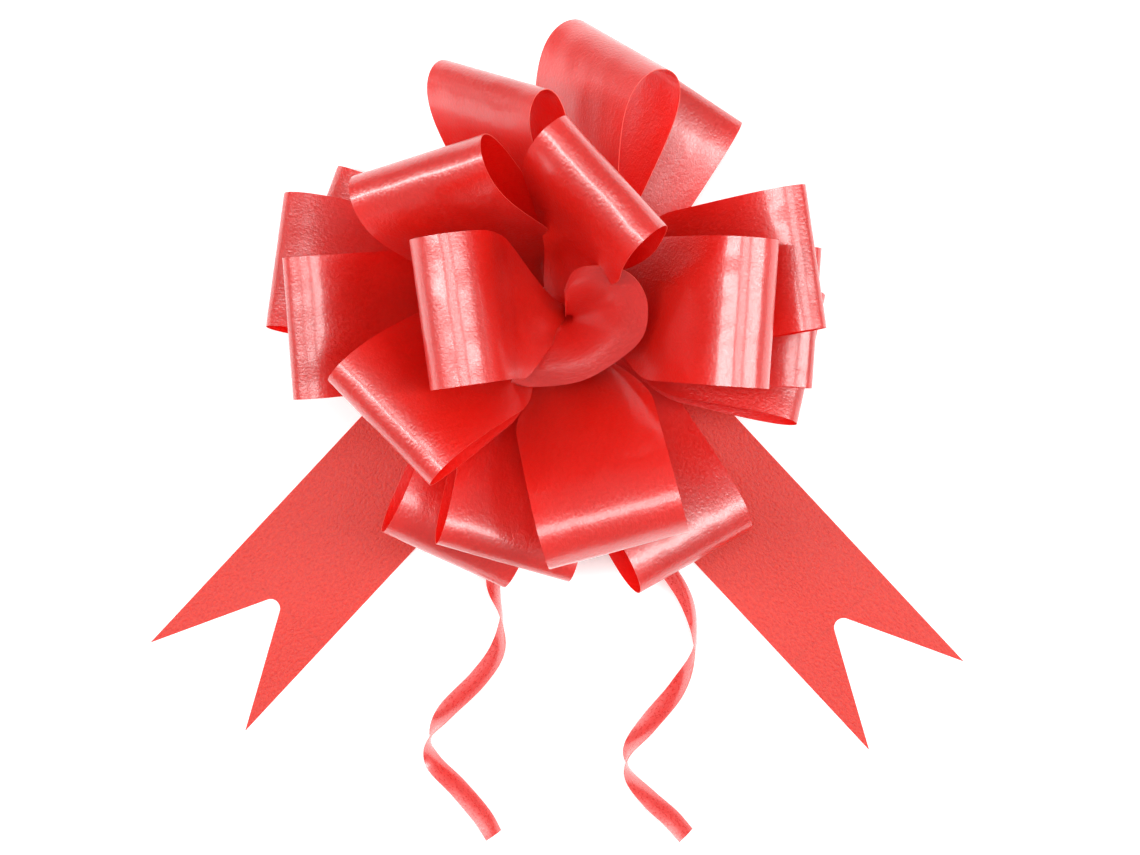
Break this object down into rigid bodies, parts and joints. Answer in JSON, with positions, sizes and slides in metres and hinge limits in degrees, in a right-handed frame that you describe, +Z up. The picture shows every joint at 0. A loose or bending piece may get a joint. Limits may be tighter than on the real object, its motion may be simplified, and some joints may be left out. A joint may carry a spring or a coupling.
{
  "type": "gift bow",
  "caption": "A pull bow of red satin ribbon: a dome of overlapping loops gathered on pull strings, with swallowtail tails and loose curled string ends, lying flat on its base",
  "frame": {"origin": "On the table, under the middle of the bow's box, measured without the free pull strings", "axes": "+Z up along the stack of seals, +X to the right, the tails and the free strings towards -Y"},
  "size_m": [0.1884, 0.1855, 0.0873],
  "materials": {
    "ribbon_face": "satin polypropylene ribbon, shiny face",
    "ribbon_back": "matt back of the same ribbon",
    "sealed_neck": "gathered ribbon, heat sealed",
    "curling_ribbon": "narrow curling ribbon, satin"
  },
  "bodies": {
    "core": {"neck_seal_1": "sealed_neck", "neck_seal_2": "sealed_neck", "neck_seal_3": "sealed_neck", "neck_seal_4": "sealed_neck", "neck_seal_5": "sealed_neck", "neck_seal_6": "sealed_neck", "neck_seal_7": "sealed_neck", "neck_seal_8": "sealed_neck", "neck_seal_9": "sealed_neck", "top_seal": "sealed_neck", "pull_string_left_run": "curling_ribbon", "pull_string_right_run": "curling_ribbon", "pull_string_left": "curling_ribbon", "pull_string_right": "curling_ribbon"},
    "loop_front_left": {"loop_front_left": "ribbon_face"},
    "loop_front_right": {"loop_front_right": "ribbon_face"},
    "loop_crown": {"loop_crown": "ribbon_face"},
    "loop_front_middle": {"loop_front_middle": "ribbon_face"},
    "loop_lower_left": {"loop_lower_left": "ribbon_face"},
    "loop_upper_right": {"loop_upper_right": "ribbon_face"},
    "loop_upper_left": {"loop_upper_left": "ribbon_face"},
    "loop_side_right": {"loop_side_right": "ribbon_face"},
    "loop_back_left": {"loop_back_left": "ribbon_face"},
    "loop_hem_front": {"loop_hem_front": "ribbon_face"},
    "loop_back_middle": {"loop_back_middle": "ribbon_face"},
    "loop_side_left": {"loop_side_left": "ribbon_face"},
    "loop_hem_left": {"loop_hem_left": "ribbon_face"},
    "loop_foot_right": {"loop_foot_right": "ribbon_face"},
    "loop_rear_left": {"loop_rear_left": "ribbon_face"},
    "loop_lower_right": {"loop_lower_right": "ribbon_face"},
    "loop_foot_left": {"loop_foot_left": "ribbon_face"},
    "loop_back_right": {"loop_back_right": "ribbon_face"},
    "tail_left": {"tail_left": "ribbon_back"},
    "tail_right": {"tail_right": "ribbon_back"},
    "end_flap": {"end_flap": "ribbon_back"}
  },
  "joints": [
    {"name": "front_left_sway", "type": "hinge", "parent": "core", "child": "loop_front_left", "pos_m": [-0.00366, 0.01873, 0.03161], "axis": [-0.1378, 0.9903, 0.0194], "range_deg": [-1, 6], "stiffness_Nm_per_rad": 0.02},
    {"name": "front_right_sway", "type": "hinge", "parent": "core", "child": "loop_front_right", "pos_m": [0.00577, 0.01882, 0.03028], "axis": [-0.1207, -0.9925, 0.017], "range_deg": [-3, 2], "stiffness_Nm_per_rad": 0.02},
    {"name": "crown_sway", "type": "hinge", "parent": "core", "child": "loop_crown", "pos_m": [0.00151, 0.02413, 0.02826], "axis": [0.9752, -0.1736, -0.1371], "range_deg": [-5, 4], "stiffness_Nm_per_rad": 0.02},
    {"name": "front_middle_sway", "type": "hinge", "parent": "core", "child": "loop_front_middle", "pos_m": [0.00135, 0.01465, 0.02828], "axis": [-0.9806, -0.1392, 0.1378], "range_deg": [-3, 10], "stiffness_Nm_per_rad": 0.02},
    {"name": "lower_left_sway", "type": "hinge", "parent": "core", "child": "loop_lower_left", "pos_m": [-0.00366, 0.01679, 0.02636], "axis": [-0.5393, 0.8387, 0.0758], "range_deg": [-5, 1], "stiffness_Nm_per_rad": 0.02},
    {"name": "upper_right_sway", "type": "hinge", "parent": "core", "child": "loop_upper_right", "pos_m": [0.00501, 0.02023, 0.02514], "axis": [0.172, -0.9848, -0.0242], "range_deg": [-1, 3], "stiffness_Nm_per_rad": 0.02},
    {"name": "upper_left_sway", "type": "hinge", "parent": "core", "child": "loop_upper_left", "pos_m": [-0.00393, 0.02215, 0.02377], "axis": [0.568, 0.8192, -0.0798], "range_deg": [-12, 2], "stiffness_Nm_per_rad": 0.02},
    {"name": "side_right_sway", "type": "hinge", "parent": "core", "child": "loop_side_right", "pos_m": [0.00471, 0.01907, 0.02256], "axis": [-0.0691, -0.9976, 0.0097], "range_deg": [-6, 1], "stiffness_Nm_per_rad": 0.02},
    {"name": "back_left_sway", "type": "hinge", "parent": "core", "child": "loop_back_left", "pos_m": [-0.00226, 0.02382, 0.02091], "axis": [0.9116, 0.3907, -0.1281], "range_deg": [-15, 3], "stiffness_Nm_per_rad": 0.02},
    {"name": "hem_front_sway", "type": "hinge", "parent": "core", "child": "loop_hem_front", "pos_m": [-0.00155, 0.01474, 0.02081], "axis": [-0.9609, 0.2419, 0.135], "range_deg": [-3, 3], "stiffness_Nm_per_rad": 0.02},
    {"name": "back_middle_sway", "type": "hinge", "parent": "core", "child": "loop_back_middle", "pos_m": [0.00015, 0.02411, 0.01794], "axis": [0.9721, -0.1908, -0.1366], "range_deg": [-6, 10], "stiffness_Nm_per_rad": 0.02},
    {"name": "side_left_sway", "type": "hinge", "parent": "core", "child": "loop_side_left", "pos_m": [-0.00549, 0.0189, 0.01874], "axis": [-0.1035, 0.9945, 0.0145], "range_deg": [-5, 4], "stiffness_Nm_per_rad": 0.02},
    {"name": "hem_left_sway", "type": "hinge", "parent": "core", "child": "loop_hem_left", "pos_m": [-0.00306, 0.01501, 0.01577], "axis": [-0.9047, 0.4067, 0.1271], "range_deg": [-12, 2], "stiffness_Nm_per_rad": 0.02},
    {"name": "foot_right_sway", "type": "hinge", "parent": "core", "child": "loop_foot_right", "pos_m": [0.00353, 0.0184, 0.01484], "axis": [-0.2059, -0.9781, 0.0289], "range_deg": [-15, 6], "stiffness_Nm_per_rad": 0.02},
    {"name": "rear_left_sway", "type": "hinge", "parent": "core", "child": "loop_rear_left", "pos_m": [-0.00618, 0.02015, 0.01358], "axis": [0.1549, 0.9877, -0.0218], "range_deg": [-10, 5], "stiffness_Nm_per_rad": 0.02},
    {"name": "lower_right_sway", "type": "hinge", "parent": "core", "child": "loop_lower_right", "pos_m": [0.00082, 0.0152, 0.0126], "axis": [-0.8661, -0.4848, 0.1217], "range_deg": [-6, 8], "stiffness_Nm_per_rad": 0.02},
    {"name": "foot_left_sway", "type": "hinge", "parent": "core", "child": "loop_foot_left", "pos_m": [-0.00631, 0.02104, 0.01098], "axis": [0.3387, 0.9397, -0.0476], "range_deg": [0, 10], "stiffness_Nm_per_rad": 0.02},
    {"name": "back_right_sway", "type": "hinge", "parent": "core", "child": "loop_back_right", "pos_m": [0.00053, 0.02356, 0.01001], "axis": [0.8576, -0.5, -0.1205], "range_deg": [0, 6], "stiffness_Nm_per_rad": 0.02},
    {"name": "tail_left_lift", "type": "hinge", "parent": "core", "child": "tail_left", "pos_m": [-0.0055, 0.01567, 0.00915], "axis": [-0.7314, 0.682, 0], "range_deg": [0, 20], "stiffness_Nm_per_rad": 0.05},
    {"name": "tail_right_lift", "type": "hinge", "parent": "core", "child": "tail_right", "pos_m": [0.00145, 0.01567, 0.00915], "axis": [-0.7314, -0.682, 0], "range_deg": [0, 6], "stiffness_Nm_per_rad": 0.05},
    {"name": "end_flap_nod", "type": "hinge", "parent": "core", "child": "end_flap", "pos_m": [0.00139, 0.0194, 0.03337], "axis": [-0.9903, 0, 0.1392], "range_deg": [-15, 10], "stiffness_Nm_per_rad": 0.02}
  ]
}
